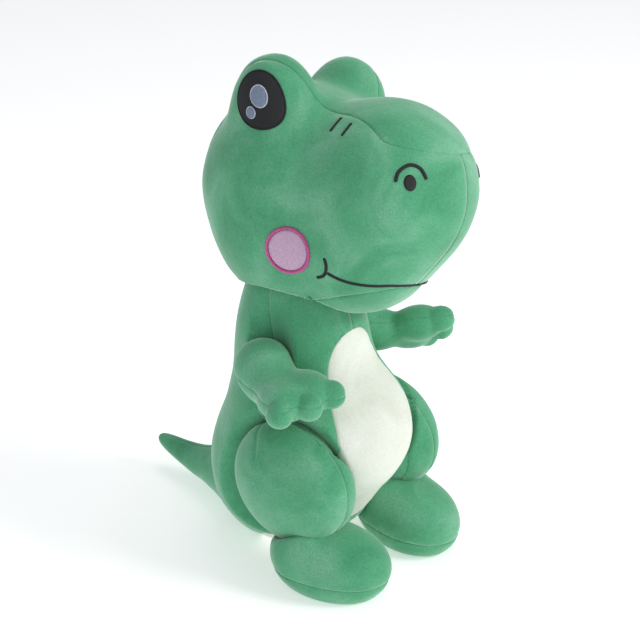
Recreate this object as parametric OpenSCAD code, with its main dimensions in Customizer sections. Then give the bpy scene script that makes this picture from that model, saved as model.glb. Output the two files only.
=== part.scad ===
// Stuffed toy dinosaur: fabric panels, fibre stuffing and embroidery, one solid per piece.
// Millimetres. The toy faces -Y, its right side is -X, and it sits on the plane z = 0.

/* [Fabric] */
// Thickness of the plush fabric with its pile
fabric_t = 1.6; // [1.2:0.1:2.4]
// Thickness of a layer of embroidery or applique
thread_t = 1.2; // [0.8:0.1:1.6]
// Width of a line of satin stitch
stitch_w = 2.6; // [2:0.1:3.4]
// Free space between two parts of the toy that move on each other
joint_gap = 3.4; // [3.2:0.1:4]

/* [Head] */
// Width across the cheeks
head_w = 176; // [168:2:184]
// Height of the back of the head
head_h = 172; // [164:2:180]
// Length of the back of the head, front to back
head_d = 172; // [164:2:180]
// Width of the snout
snout_w = 152; // [144:2:156]
// Height of the snout
snout_h = 148; // [142:2:154]
// Distance from the neck to the middle of the snout
snout_reach = 66; // [60:1:70]
// Distance between the two eye bumps, centre to centre
eye_spacing = 100; // [92:2:108]
// Height of the middle of the eye bumps above the neck
eye_z = 166; // [160:1:170]
// How far the head is tipped to its left at rest, in degrees
head_roll = 14; // [0:1:16]
// How far the head is turned to its left at rest, in degrees
head_yaw = 3; // [0:1:6]

/* [Body] */
// Width across the belly
belly_w = 144; // [136:2:148]
// Width across the hips
hip_w = 150; // [144:2:154]
// Width across the chest
chest_w = 110; // [106:2:116]
// Height of the neck joint above the floor
neck_z = 236; // [232:1:240]
// Radius of the round top of the neck
neck_r = 50; // [48:1:51]

/* [Arms] */
// Distance of each shoulder from the middle of the body
shoulder_x = 62; // [60:1:66]
// Height of the shoulders
shoulder_z = 192; // [188:1:194]
// Radius of the round end of each arm
shoulder_r = 25; // [23:1:26]
// How far the right arm points outward, in degrees
arm_yaw_right = 14; // [8:1:20]
// How far the left arm points outward, in degrees
arm_yaw_left = 48; // [42:1:52]
// How far the left hand is turned edge-on, in degrees
arm_roll_left = 34; // [26:1:38]
// How far the left arm is drawn out, as a multiple of the right arm's length
arm_stretch_left = 1.16; // [1:0.02:1.2]

/* [Legs] */
// Distance of the middle of each thigh from the middle of the body
hip_x = 64; // [62:1:68]
// Radius of each thigh seen from the side
thigh_r = 56; // [53:1:58]
// Height of the hip joint
hip_z = 92; // [90:1:96]
// Width of a foot
foot_w = 76; // [70:2:80]
// Height that a foot would have without its flat sole
foot_h = 72; // [66:2:76]

/* [Tail] */
// Half of the tail's height where it leaves the body
tail_r = 29; // [27:1:29]
// Half of the tail's width where it leaves the body
tail_w = 38; // [34:1:40]
// Distance from the middle of the tail's root to its tip
tail_length = 117; // [105:2:121]

/* [Hidden] */
green = [0.36, 0.70, 0.53];
cream = [0.91, 0.92, 0.87];
black = [0.12, 0.13, 0.16];
pink = [0.85, 0.70, 0.82];
rose = [0.86, 0.32, 0.62];
glint = [0.60, 0.64, 0.76];
wadding = [0.95, 0.95, 0.94];
far = 1000;
flare = 150;
steep = 600;
// Stuffing stays this far inside the fabric's inner face, and further from the hollows for the joints.
slack = 5;
hollow_slack = 14;
neck = [0, 10, neck_z];
head_turn = [0, head_roll, head_yaw];

// Each blob is a centre and three radii. Blobs melt into one smooth body.
head_blobs = [
    [[0, 22, 96], [head_w / 2, head_d / 2, head_h / 2]],
    [[0, -snout_reach, 110], [snout_w / 2, 76, snout_h / 2]],
    [[0, 8, 44], [65, 75, 56]],
    [[0, -48, 60], [62, 62, 58]],
    [[-eye_spacing / 2, 28, eye_z], [28, 36, 39]],
    [[eye_spacing / 2, 28, eye_z], [28, 36, 39]]];
head_melt = 9;
head_heart = [0, -10, 100];
belly_blob = [[0, -8, 121], [belly_w / 2, 85, 66]];
hip_blob = [[0, 24, 72], [hip_w / 2, 78, 76]];
seat_blob = [[0, 52, 34], [40, 48, 34]];
torso_blobs = [belly_blob, hip_blob, seat_blob, [[0, 16, 188], [chest_w / 2, 62, 104]]];
torso_melt = 12;
torso_heart = [0, 8, 110];
arm_blobs = [
    [[0, 0, 0], shoulder_r * [1, 1, 1]],
    [[-3, -18, -8], [23, 25, 19]],
    [[-12, -46, -10], [20.5, 24, 16.5]],
    [[13, -49, -7], [19.5, 24, 16.5]]];
finger_blobs = [
    [[-26, -61, -13], [11, 12, 11]],
    [[-1, -68, -10], [12, 12.5, 12]],
    [[24, -65, -7], [12, 13, 12]]];
arm_melt = 3.5;
arm_heart = [-2, -34, -6];
thigh_blob = [[hip_x, -23, hip_z], [32, thigh_r, thigh_r]];
knee_blob = [[58, -50, 92], [26, 36, 38]];
leg_melt = 8;
leg_heart = [74, -30, 84];
foot_blobs = [
    [[0, 0, 0], [foot_w / 2, 55, foot_h / 2]],
    [[0, 24, 11], [foot_w / 2 - 2, 31, foot_h / 2 - 2]]];
foot_melt = 4;
// How far the arms and legs keep clear of the body outside their round ends.
arm_clear = 10;
leg_clear = 6.5;
function shoulder(s) = [s * shoulder_x, 6, shoulder_z];
tail_root = [0, 88, tail_r + 0.4];

// Gap from a point to the skin of an ellipsoid, negative inside it.
function ellipsoid_gap(p, blob) =
    let(q = p - blob[0], r = blob[1])
    let(a = [q.x / r.x, q.y / r.y, q.z / r.z], k0 = norm(a))
    k0 * (k0 - 1) / max(norm([a.x / r.x, a.y / r.y, a.z / r.z]), 0.0001);
// Gap from a point to the skin of several blobs that melt together.
function skin_gap(p, blobs, melt) =
    let(parts = [for (b = blobs) exp(-ellipsoid_gap(p, b) / melt)])
    -melt * ln(parts * [for (b = blobs) 1]);
// Distance along d from c to the outer skin, stepping in from t.
function reach(c, d, blobs, melt, t, steps = 18) =
    steps == 0 ? t
        : reach(c, d, blobs, melt, t - 0.95 * skin_gap(c + t * d, blobs, melt), steps - 1);
// Where a ray from c along d leaves an ellipsoid, or a large negative distance when it misses.
function leaving(c, d, blob) =
    let(r = blob[1], q = c - blob[0])
    let(e = [d.x / r.x, d.y / r.y, d.z / r.z], f = [q.x / r.x, q.y / r.y, q.z / r.z])
    let(a = e * e, b = e * f, h = b * b - a * (f * f - 1))
    h <= 0 ? -far : (-b + sqrt(h)) / a;
// How far a ray may run before it meets the hollow round an ellipsoid. The hollow flares at its mouth.
function hollow(c, d, blob, mouth = flare) =
    let(r = blob[1], q = c - blob[0])
    let(e = [d.x / r.x, d.y / r.y, d.z / r.z], f = [q.x / r.x, q.y / r.y, q.z / r.z])
    let(t = -(e * f) / (e * e), miss = norm(f + t * e))
    t < 0 ? far : miss < 1 ? t - sqrt(1 - miss * miss) / norm(e) : t + mouth * (miss - 1);
function grown(blob, by) = [blob[0], blob[1] + by * [1, 1, 1]];
function ball(centre, r) = [centre, [r, r, r]];
function floor_hit(c, d) = d.z < -0.001 ? -c.z / d.z : far;
function turned(v, a) =
    let(x = [v.x, v.y * cos(a.x) - v.z * sin(a.x), v.y * sin(a.x) + v.z * cos(a.x)])
    let(y = [x.x * cos(a.y) + x.z * sin(a.y), x.y, -x.x * sin(a.y) + x.z * cos(a.y)])
    [y.x * cos(a.z) - y.y * sin(a.z), y.x * sin(a.z) + y.y * cos(a.z), y.z];

// Directions. across: angle from the middle plane towards +X, around: 0 at the front, 90 at the top.
function sideways(across, around) =
    [sin(across), -cos(across) * cos(around), cos(across) * sin(around)];
function upright(up, around) = [cos(up) * cos(around), cos(up) * sin(around), sin(up)];

// Distance from the heart of each part to its skin, in a direction.
function head_reach(d, spare = 0) =
    min(reach(head_heart, d, head_blobs, head_melt, 190),
        hollow(head_heart, d, ball([0, 0, 0], neck_r + joint_gap + spare)));
function torso_reach(d, spare = 0) =
    let(c = torso_heart, side = [abs(d.x), d.y, d.z], gap = joint_gap + spare)
    let(t = reach(c, d, torso_blobs, torso_melt, 200))
    let(dome = max(leaving(c, d, ball(neck, neck_r)), (neck_z - c.z) / max(d.z, 0.001)))
    min(t, c.z + t * d.z > neck_z ? dome : far, floor_hit(c, d),
        hollow(c, side, grown(thigh_blob, gap)),
        hollow(c, side, ball(shoulder(1), shoulder_r + gap + 1.5)),
        hollow(c, d, grown([tail_root, [tail_w, tail_w, tail_r]], gap + 2.5)));
// The arms are drawn for the right side, with the shoulder at zero and the fingers towards -Y.
function arm_turn(s) = s < 0 ? [0, 0, -arm_yaw_right] : [-1, arm_roll_left, arm_yaw_left];
function arm_place(s, v) = turned([-s * v.x, v.y, v.z], arm_turn(s));
function stretched(v, s) = [v.x, v.y * (s > 0 ? arm_stretch_left : 1), v.z];
function drawn_out(blobs, s) = [for (b = blobs) [stretched(b[0], s), b[1]]];
function arm_reach(d, s, spare = 0) =
    let(c = shoulder(s) + arm_place(s, arm_heart), w = arm_place(s, d))
    let(fingers = max([for (b = drawn_out(finger_blobs, s)) leaving(arm_heart, d, b)]))
    max(leaving(arm_heart, d, grown(arm_blobs[0], -spare)),
        min(max(reach(arm_heart, d, drawn_out(arm_blobs, s), arm_melt, 100), fingers),
            min([for (b = torso_blobs) hollow(c, w, grown(b, arm_clear + spare), steep)])));
function leg_reach(d, spare = 0) =
    let(clear = leg_clear + spare)
    max(leaving(leg_heart, d, grown(thigh_blob, -spare)),
        min(reach(leg_heart, d, [thigh_blob, knee_blob], leg_melt, 110),
            min([for (b = [belly_blob, hip_blob]) hollow(leg_heart, d, grown(b, clear), steep)])));
function foot_reach(d, foot, spare = 0) =
    let(c = foot[0], yaw = [0, 0, -foot[1]])
    min(reach([0, 0, -2], turned(d, yaw), foot_blobs, foot_melt, 90),
        hollow(c, d, grown(thigh_blob, 5.5 + spare)),
        hollow(c, d, grown(knee_blob, 6.5 + spare)),
        hollow(c, d, grown(hip_blob, leg_clear + spare)),
        hollow(c, d, grown(seat_blob, leg_clear + spare)),
        floor_hit(c, d));

// Where the seams run, as half the width of the strip of fabric along the middle plane, in degrees.
function rounded(x) = sqrt(1 - pow(1 - min(max(x, 0), 1), 2));
function head_strip(v) =
    v <= chin[1] ? 24 * rounded((chin[1] - v) / 27) * rounded((v - chin[0]) / 30)
    : v <= crown[0] ? 0
    : v <= crown[1] ? 31 * rounded((v - crown[0]) / 14) * rounded((crown[1] - v) / 60)
    : 0;
function torso_strip(v) =
    let(w = v > base[0] + 360 ? v - 360 : v)
    w <= base[1] ? 29 * rounded((w - base[0]) / 14) * rounded((base[1] - w) / 24)
    : w <= belly[0] ? 0
    : w <= belly[1] ? 34 * pow(rounded((belly[1] - w) / 80), 0.6) * pow(rounded((w - belly[0]) / 40), 0.8)
    : 0;
function even(a, b, n) = [for (k = [0:n]) a + (b - a) * k / n];
// Steps that crowd towards both ends, where a strip of fabric closes.
function crowded(a, b, n) = [for (k = [0:n]) (a + b) / 2 - (b - a) / 2 * cos(180 * k / n)];
function rest(list) = [for (k = [1:len(list) - 1]) list[k]];
function part_of(list, a, b) = [for (k = [a:b]) list[k]];

// Grids of directions: rows run from a pole, or from one seam, to the next seam.
function side_grid(s, ring, strip, rows) =
    [for (i = [0:rows]) [for (v = ring) sideways(s * (90 - (90 - strip(v)) * i / rows), v)]];
function strip_grid(ring, strip, rows) =
    [for (i = [0:rows]) [for (v = ring) sideways(strip(v) * (2 * i / rows - 1), v)]];
function band_grid(from, to, rows, columns) =
    [for (i = [0:rows]) [for (v = even(0, 360, columns)) sideways(from + (to - from) * i / rows, v)]];
function cap_grid(from, to, rows, columns) =
    [for (i = [0:rows]) [for (v = even(0, 360, columns)) upright(from + (to - from) * i / rows, v)]];

// One node of a sheet's grid. A pole and the two tips of a strip are one point each.
function spot(i, j, m, pole, tips, ring) =
    pole && i == 0 ? 0
    : tips && j % m == 0 ? (j == 0 ? 0 : 1)
    : 2 + i * (m + 1) + (ring ? j % m : j);
function flipped(faces) = [for (f = faces) [f[2], f[1], f[0]]];
// Whether the faces of a grid have to be turned over, judged at its cell i, j with the outside along out.
function inside_out(grid, i, j, out) =
    cross(grid[i + 1][j] - grid[i][j], grid[i + 1][j + 1] - grid[i][j]) * out > 0;
// A sheet of fabric between an outer and an inner grid of points.
module sheet(outer, inner, pole = false, tips = false, ring = false) {
    n = len(outer) - 1;
    m = len(outer[0]) - 1;
    i = floor(n / 2);
    j = floor(m / 2);
    turn = inside_out(outer, i, j, outer[i][j] - inner[i][j]);
    k = 2 + (n + 1) * (m + 1);
    front = [for (i = [0:n - 1], j = [0:m - 1])
        let(a = spot(i, j, m, pole, tips, ring), b = spot(i + 1, j, m, pole, tips, ring))
        let(c = spot(i + 1, j + 1, m, pole, tips, ring), d = spot(i, j + 1, m, pole, tips, ring))
        each [if (a != b) [a, b, c], if (c != d && a != d) [a, c, d]]];
    rim = concat(
        [for (j = [0:m - 1]) [spot(n, j, m, pole, tips, ring), spot(n, j + 1, m, pole, tips, ring)]],
        pole ? [] : [for (j = [0:m - 1])
            [spot(0, j + 1, m, pole, tips, ring), spot(0, j, m, pole, tips, ring)]],
        ring || tips ? [] : [for (i = [0:n - 1])
            each [[spot(i + 1, m, m, pole, tips, ring), spot(i, m, m, pole, tips, ring)],
                [spot(i, 0, m, pole, tips, ring), spot(i + 1, 0, m, pole, tips, ring)]]]);
    faces = concat(front,
        [for (f = flipped(front)) f + k * [1, 1, 1]],
        [for (e = rim) each [[e[1], e[0], e[0] + k], [e[1], e[0] + k, e[1] + k]]]);
    polyhedron(
        concat([outer[0][0], outer[0][m]], [for (r = outer) each r],
            [inner[0][0], inner[0][m]], [for (r = inner) each r]),
        turn ? flipped(faces) : faces);
}
// A closed solid on a grid whose first and last rows are poles.
module filling(grid) {
    n = len(grid) - 1;
    m = len(grid[0]) - 1;
    i = floor(n / 2);
    turn = inside_out(grid, i, 0, grid[i][0] - grid[i][floor(m / 2)]);
    faces = [for (i = [0:n - 1], j = [0:m - 1])
        let(a = i == 0 ? 0 : 2 + (i - 1) * m + j, b = i == n - 1 ? 1 : 2 + i * m + j)
        let(c = i == n - 1 ? 1 : 2 + i * m + (j + 1) % m, d = i == 0 ? 0 : 2 + (i - 1) * m + (j + 1) % m)
        each [if (b != c) [a, b, c], if (a != d) [a, c, d]]];
    polyhedron(
        concat([grid[0][0], grid[n][0]],
            [for (i = [1:n - 1], j = [0:m - 1]) grid[i][j]]),
        turn ? flipped(faces) : faces);
}
function layer(c, grid, skin, by) =
    [for (i = [0:len(grid) - 1]) [for (j = [0:len(grid[0]) - 1]) c + grid[i][j] * (skin[i][j] + by)]];
// Fabric on the skin of a part: lift is how far its inner face stands off the skin.
module cloth(c, grid, depth, lift = -fabric_t, thick = fabric_t, pole = false, tips = false, ring = false) {
    skin = [for (r = grid) [for (d = r) depth(d) + lift]];
    sheet(layer(c, grid, skin, thick), layer(c, grid, skin, 0), pole, tips, ring);
}
module stuffing(c, grid, depth)
    color(wadding)
        filling([for (r = grid) [for (d = r) c + d * (depth(d) - fabric_t - slack)]]);

// Embroidery lies on the head. Its places are directions from the middle of the head.
chin = [-125, -34];
crown = [23, 215];
head_ring = concat(crowded(chin[0], chin[1], 12), rest(even(chin[1], crown[0], 6)),
    rest(crowded(crown[0], crown[1], 30)), rest(even(crown[1], chin[0] + 360, 2)));
head_skin = function(d) head_reach(d);
function unit(v) = v / norm(v);
function near(place, x, y) =
    let(d = sideways(place[0], place[1]), r = head_reach(d))
    let(e = [0, sin(place[1]), cos(place[1])])
    unit(d * r + x * e + y * cross(e, d));
module applique(place, size, rows, columns, hole = 0, lift = 0.3)
    cloth(head_heart,
        [for (i = [0:rows]) [for (a = even(0, 360, columns))
            let(k = hole + (1 - hole) * i / rows)
            near(place, k * size[0] * sin(a), k * size[1] * cos(a))]],
        head_skin, lift, thread_t, pole = hole == 0, ring = true);
function smooth(p, q, r, s, t) =
    0.5 * (2 * q + t * (r - p) + t * t * (2 * p - 5 * q + 4 * r - s) + t * t * t * (3 * q - p - 3 * r + s));
function curve(points, steps) =
    let(n = len(points) - 1)
    concat([for (k = [0:n - 1], t = [0:steps - 1])
        smooth(points[max(k - 1, 0)], points[k], points[k + 1], points[min(k + 2, n)], t / steps)],
        [points[n]]);
// A line of satin stitch through a list of places.
module stitch(places, steps = 3) {
    path = [for (q = curve(places, steps)) let(d = sideways(q[0], q[1])) head_heart + d * head_reach(d)];
    n = len(path) - 1;
    edges = [for (k = [0:n])
        let(along = path[min(k + 1, n)] - path[max(k - 1, 0)])
        stitch_w / 2 * unit(cross(path[k] - head_heart, along))];
    cloth(head_heart,
        [for (s = [-1, 1]) [for (k = [0:n]) unit(path[k] + s * edges[k] - head_heart)]],
        head_skin, 0.3, thread_t);
}

// Head, drawn upright with the neck joint at zero.
module head_place() translate(neck) rotate(head_turn) children();
module head_side_panel(s)
    color(green) head_place()
        cloth(head_heart, side_grid(s, head_ring, function(v) head_strip(v), 10), head_skin,
            pole = true, ring = true);
module head_side_panel_right() head_side_panel(-1);
module head_side_panel_left() head_side_panel(1);
module crown_gusset()
    color(green) head_place()
        cloth(head_heart, strip_grid(crowded(crown[0], crown[1], 30), function(v) head_strip(v), 6),
            head_skin, tips = true);
module chin_gusset()
    color(green) head_place()
        cloth(head_heart, strip_grid(crowded(chin[0], chin[1], 12), function(v) head_strip(v), 4),
            head_skin, tips = true);
module head_stuffing()
    head_place()
        stuffing(head_heart, band_grid(90, -90, 18, 36), function(d) head_reach(d, hollow_slack));

// Face. The right side is drawn, and the left side is its mirror image.
module face(s) head_place() mirror([s > 0 ? 1 : 0, 0, 0]) children();
eye = [-47, 115];
cheek = [-54.7, -74];
nostril = [-25.2, 13.3];
module eye_patch(s) color(black) face(s) applique(eye, [22, 20.5], 3, 20);
module eye_glints(s)
    color(glint) face(s) {
        applique([-45.6, 114], [7.4, 7.4], 1, 14, lift = 0.8 + thread_t);
        applique([-50.2, 122.5], [4.1, 4], 1, 12, lift = 0.8 + thread_t);
    }
module cheek_pad(s) color(pink) face(s) applique(cheek, [17.2, 17.2], 2, 20);
module cheek_ring(s) color(rose) face(s) applique(cheek, [20.2, 20.2], 1, 24, hole = 0.87);
module nostril_dot(s) color(black) face(s) applique(nostril, [7, 4.9], 1, 14);
module nostril_arc(s)
    color(black) face(s)
        stitch([[-30.2, 14.5], [-28.8, 18.2], [-24.6, 20.4], [-20.8, 18.6], [-19.2, 14.5]], 2);
module brow_stitches(s)
    color(black) face(s) {
        stitch([[-34, 63.5], [-44.6, 59.2]], 4);
        stitch([[-34.8, 53.5], [-42.9, 49.1]], 4);
    }
module mouth_stitch(s)
    color(black) face(s) {
        stitch([[-37.4, -60.5], [-37.4, -54.5], [-40.5, -49], [-44.2, -46.1]], 2);
        stitch([[-37.6, -51.6], [-32.4, -47.9], [-26.8, -43.6], [-20.6, -39], [-14.6, -35.6],
            [-7, -33.6], [-0.6, -33]], 2);
    }
module eye_patch_right() eye_patch(-1);
module eye_patch_left() eye_patch(1);
module eye_glints_right() eye_glints(-1);
module eye_glints_left() eye_glints(1);
module cheek_pad_right() cheek_pad(-1);
module cheek_pad_left() cheek_pad(1);
module cheek_ring_right() cheek_ring(-1);
module cheek_ring_left() cheek_ring(1);
module nostril_dot_right() nostril_dot(-1);
module nostril_dot_left() nostril_dot(1);
module nostril_arc_right() nostril_arc(-1);
module nostril_arc_left() nostril_arc(1);
module brow_stitches_right() brow_stitches(-1);
module brow_stitches_left() brow_stitches(1);
module mouth_stitch_right() mouth_stitch(-1);
module mouth_stitch_left() mouth_stitch(1);

// Torso, from the neck to the flat base.
base = [-107, -64];
belly = [-52, 65];
side_seam = 93;
torso_skin = function(d) torso_reach(d);
torso_seam = function(v) torso_strip(v);
base_ring = crowded(base[0], base[1], 10);
chest_ring = concat(part_of(base_ring, 5, 10), rest(even(base[1], belly[0], 1)),
    rest(crowded(belly[0], belly[1], 16)), rest(even(belly[1], side_seam, 3)));
back_ring = concat(even(side_seam, base[0] + 360, 13), rest([for (v = part_of(base_ring, 0, 5)) v + 360]));
module torso_panel(s, ring)
    color(green)
        cloth(torso_heart, side_grid(s, ring, torso_seam, 9), torso_skin, pole = true);
module chest_panel_right() torso_panel(-1, chest_ring);
module chest_panel_left() torso_panel(1, chest_ring);
module back_panel_right() torso_panel(-1, back_ring);
module back_panel_left() torso_panel(1, back_ring);
module belly_panel()
    color(cream)
        cloth(torso_heart, strip_grid(crowded(belly[0], belly[1], 16), torso_seam, 6), torso_skin,
            tips = true);
module base_panel()
    color(cream) cloth(torso_heart, strip_grid(base_ring, torso_seam, 4), torso_skin, tips = true);
module torso_stuffing()
    stuffing(torso_heart, band_grid(90, -90, 16, 32), function(d) torso_reach(d, hollow_slack));

// Arms: two mitten-shaped panels with a seam around the edge.
module arm_frame(s) translate(shoulder(s)) rotate(arm_turn(s)) mirror([s > 0 ? 1 : 0, 0, 0]) children();
module arm_panel(s, from)
    color(green) arm_frame(s)
        cloth(arm_heart, cap_grid(from, 0, 6, 32), function(d) arm_reach(d, s), pole = true, ring = true);
module arm_filling(s)
    arm_frame(s) stuffing(arm_heart, cap_grid(90, -90, 12, 32), function(d) arm_reach(d, s, 5));
module arm_upper_panel_right() arm_panel(-1, 90);
module arm_upper_panel_left() arm_panel(1, 90);
module arm_under_panel_right() arm_panel(-1, -90);
module arm_under_panel_left() arm_panel(1, -90);
module arm_stuffing_right() arm_filling(-1);
module arm_stuffing_left() arm_filling(1);

// Legs, drawn on the left and mirrored to the right. Each foot is sewn to the leg at the ankle.
outer_seam = -12;
inner_seam = -38;
foot_right = [[57, -67, 22], -14];
foot_left = [[50, -70, 22], -8];
leg_skin = function(d) leg_reach(d);
module leg_side(s) mirror([s < 0 ? 1 : 0, 0, 0]) children();
module leg_band(s, from, to, rows, pole)
    color(green) leg_side(s)
        cloth(leg_heart, band_grid(from, to, rows, 22), leg_skin, pole = pole, ring = true);
module leg_filling(s)
    leg_side(s) stuffing(leg_heart, band_grid(90, -90, 12, 20), function(d) leg_reach(d, 3));
module foot_cap(s, foot, from)
    color(green) leg_side(s)
        cloth(foot[0], cap_grid(from, -4, 5, 22), function(d) foot_reach(d, foot), pole = true, ring = true);
module foot_filling(s, foot)
    leg_side(s) stuffing(foot[0], cap_grid(90, -90, 10, 20), function(d) foot_reach(d, foot, 6));
module leg_outer_panel_right() leg_band(-1, 90, outer_seam, 5, true);
module leg_outer_panel_left() leg_band(1, 90, outer_seam, 5, true);
module leg_gusset_right() leg_band(-1, outer_seam, inner_seam, 2, false);
module leg_gusset_left() leg_band(1, outer_seam, inner_seam, 2, false);
module leg_inner_panel_right() leg_band(-1, -90, inner_seam, 4, true);
module leg_inner_panel_left() leg_band(1, -90, inner_seam, 4, true);
module leg_stuffing_right() leg_filling(-1);
module leg_stuffing_left() leg_filling(1);
module foot_top_right() foot_cap(-1, foot_right, 90);
module foot_top_left() foot_cap(1, foot_left, 90);
module foot_sole_right() foot_cap(-1, foot_right, -90);
module foot_sole_left() foot_cap(1, foot_left, -90);
module foot_stuffing_right() foot_filling(-1, foot_right);
module foot_stuffing_left() foot_filling(1, foot_left);

// Tail: a round root in the body, then a cone that lies on the floor and lifts at its tip.
tail_stations = concat(
    [for (a = even(0, 90, 4)) -cos(a)],
    [0.12, 0.26, 0.4, 0.55, 0.7, 0.83, 0.92, 0.97, 1]);
function tail_girth(u) =
    u < 0 ? tail_r * sqrt(1 - u * u)
    : (tail_r - 8) * pow(1 - u, 1.4) + 8 * sqrt(1 - pow(u, 16));
function tail_height(u) =
    tail_root.z - 6 * (1 - cos(180 * min(max(u / 0.6, 0), 1))) / 2 + 7 * pow(max(u - 0.5, 0) / 0.5, 1.6);
function tail_point(u, a, inset) =
    let(r = tail_girth(u), more = tail_w / tail_r - 1)
    let(wide = r * (u < 0 ? 1 + more : 1 + more * pow(max(1 - u / 0.7, 0), 1.5)))
    [max(wide - inset, 0.3 * r) * sin(a),
        tail_root.y + u * ((u < 0 ? tail_w : tail_length) - inset),
        tail_height(u) + max(r - inset, 0.3 * r) * cos(a)];
module tail_panel(s)
    color(green)
        sheet([for (a = even(0, 180, 8)) [for (u = tail_stations) tail_point(u, s * a, 0)]],
            [for (a = even(0, 180, 8)) [for (u = tail_stations) tail_point(u, s * a, fabric_t)]],
            tips = true);
module tail_panel_right() tail_panel(-1);
module tail_panel_left() tail_panel(1);
module tail_stuffing()
    color(wadding)
        filling([for (u = tail_stations) [for (a = even(0, 360, 14)) tail_point(u, a, fabric_t + slack)]]);

head_side_panel_right();
head_side_panel_left();
crown_gusset();
chin_gusset();
head_stuffing();
eye_patch_right();
eye_patch_left();
eye_glints_right();
eye_glints_left();
cheek_pad_right();
cheek_pad_left();
cheek_ring_right();
cheek_ring_left();
nostril_dot_right();
nostril_dot_left();
nostril_arc_right();
nostril_arc_left();
brow_stitches_right();
brow_stitches_left();
mouth_stitch_right();
mouth_stitch_left();
chest_panel_right();
chest_panel_left();
back_panel_right();
back_panel_left();
belly_panel();
base_panel();
torso_stuffing();
arm_upper_panel_right();
arm_under_panel_right();
arm_stuffing_right();
arm_upper_panel_left();
arm_under_panel_left();
arm_stuffing_left();
leg_outer_panel_right();
leg_gusset_right();
leg_inner_panel_right();
leg_stuffing_right();
foot_top_right();
foot_sole_right();
foot_stuffing_right();
leg_outer_panel_left();
leg_gusset_left();
leg_inner_panel_left();
leg_stuffing_left();
foot_top_left();
foot_sole_left();
foot_stuffing_left();
tail_panel_right();
tail_panel_left();
tail_stuffing();
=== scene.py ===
import math

import bmesh
import bpy
import numpy as np
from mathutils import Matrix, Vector


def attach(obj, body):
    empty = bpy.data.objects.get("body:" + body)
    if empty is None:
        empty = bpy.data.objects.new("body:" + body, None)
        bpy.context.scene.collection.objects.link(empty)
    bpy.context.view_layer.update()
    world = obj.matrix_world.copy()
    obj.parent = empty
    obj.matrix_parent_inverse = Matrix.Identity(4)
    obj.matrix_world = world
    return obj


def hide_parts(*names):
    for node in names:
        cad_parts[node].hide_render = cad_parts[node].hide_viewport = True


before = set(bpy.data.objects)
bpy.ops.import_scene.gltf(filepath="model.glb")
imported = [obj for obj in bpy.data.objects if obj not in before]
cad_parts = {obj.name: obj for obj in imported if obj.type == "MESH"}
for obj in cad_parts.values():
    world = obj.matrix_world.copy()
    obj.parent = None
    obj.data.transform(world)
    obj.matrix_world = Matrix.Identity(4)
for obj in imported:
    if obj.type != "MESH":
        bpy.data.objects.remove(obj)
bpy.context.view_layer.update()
MM = 0.001
SIDES = ((-1, "right"), (1, "left"))

# ---------------------------------------------------------------- camera, light, floor


def camera():
    data = bpy.data.cameras.new("camera")
    data.lens = 85
    data.sensor_width = 36
    data.clip_end = 50
    cam = bpy.data.objects.new("camera", data)
    bpy.context.scene.collection.objects.link(cam)
    az, el = math.radians(-50), math.radians(24)
    back = Vector((math.sin(az) * math.cos(el), -math.cos(az) * math.cos(el), math.sin(el)))
    cam.location = Vector((0, -0.005, 0.218)) + back * 1.32
    cam.rotation_mode = "QUATERNION"
    cam.rotation_quaternion = (-back).to_track_quat("-Z", "Y")
    bpy.context.scene.camera = cam


def area_light(name, place, size, power, colour):
    data = bpy.data.lights.new(name, "AREA")
    data.shape = "DISK"
    data.size = size
    data.energy = power
    data.color = colour
    light = bpy.data.objects.new(name, data)
    bpy.context.scene.collection.objects.link(light)
    light.location = place
    light.rotation_mode = "QUATERNION"
    light.rotation_quaternion = (Vector((0, 0, 0.2)) - Vector(place)).to_track_quat("-Z", "Y")


def studio():
    bpy.context.scene.view_settings.view_transform = "Standard"
    area_light("key", (0.75, -1.85, 1.5), 0.9, 26, (1.0, 0.99, 0.97))
    area_light("fill", (-1.6, -0.9, 0.7), 1.6, 4.2, (0.97, 0.99, 1.0))
    area_light("top", (0.6, 0.2, 2.3), 1.3, 8, (1.0, 1.0, 1.0))
    world = bpy.data.worlds.new("studio")
    world.use_nodes = True
    world.node_tree.nodes["Background"].inputs["Color"].default_value = (0.95, 0.97, 1.0, 1)
    world.node_tree.nodes["Background"].inputs["Strength"].default_value = 0.45
    bpy.context.scene.world = world
    bpy.ops.mesh.primitive_plane_add(size=14, location=(0, 0, -0.0004))
    floor = bpy.context.object
    floor.name = "studio_floor"
    mat = bpy.data.materials.new("floor_paper")
    mat.use_nodes = True
    shader = mat.node_tree.nodes["Principled BSDF"]
    shader.inputs["Base Color"].default_value = (0.93, 0.93, 0.93, 1)
    shader.inputs["Emission Color"].default_value = (1, 1, 1, 1)
    shader.inputs["Emission Strength"].default_value = 0.42
    shader.inputs["Roughness"].default_value = 0.9
    floor.data.materials.append(mat)


# ---------------------------------------------------------------- materials


def nodes_of(name):
    mat = bpy.data.materials.new(name)
    mat.use_nodes = True
    return mat, mat.node_tree, mat.node_tree.nodes["Principled BSDF"]


def noise_node(tree, coords, scale, detail=2.0, rough=0.5, distortion=0.0):
    node = tree.nodes.new("ShaderNodeTexNoise")
    node.inputs["Scale"].default_value = scale
    node.inputs["Detail"].default_value = detail
    node.inputs["Roughness"].default_value = rough
    node.inputs["Distortion"].default_value = distortion
    tree.links.new(coords, node.inputs["Vector"])
    return node.outputs["Fac"]


def ramp_node(tree, fac, stops):
    node = tree.nodes.new("ShaderNodeValToRGB")
    ramp = node.color_ramp
    ramp.elements[0].position, ramp.elements[0].color = stops[0][0], (*stops[0][1], 1)
    ramp.elements[1].position, ramp.elements[1].color = stops[-1][0], (*stops[-1][1], 1)
    for place, colour in stops[1:-1]:
        ramp.elements.new(place).color = (*colour, 1)
    tree.links.new(fac, node.inputs["Fac"])
    return node.outputs["Color"]


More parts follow.
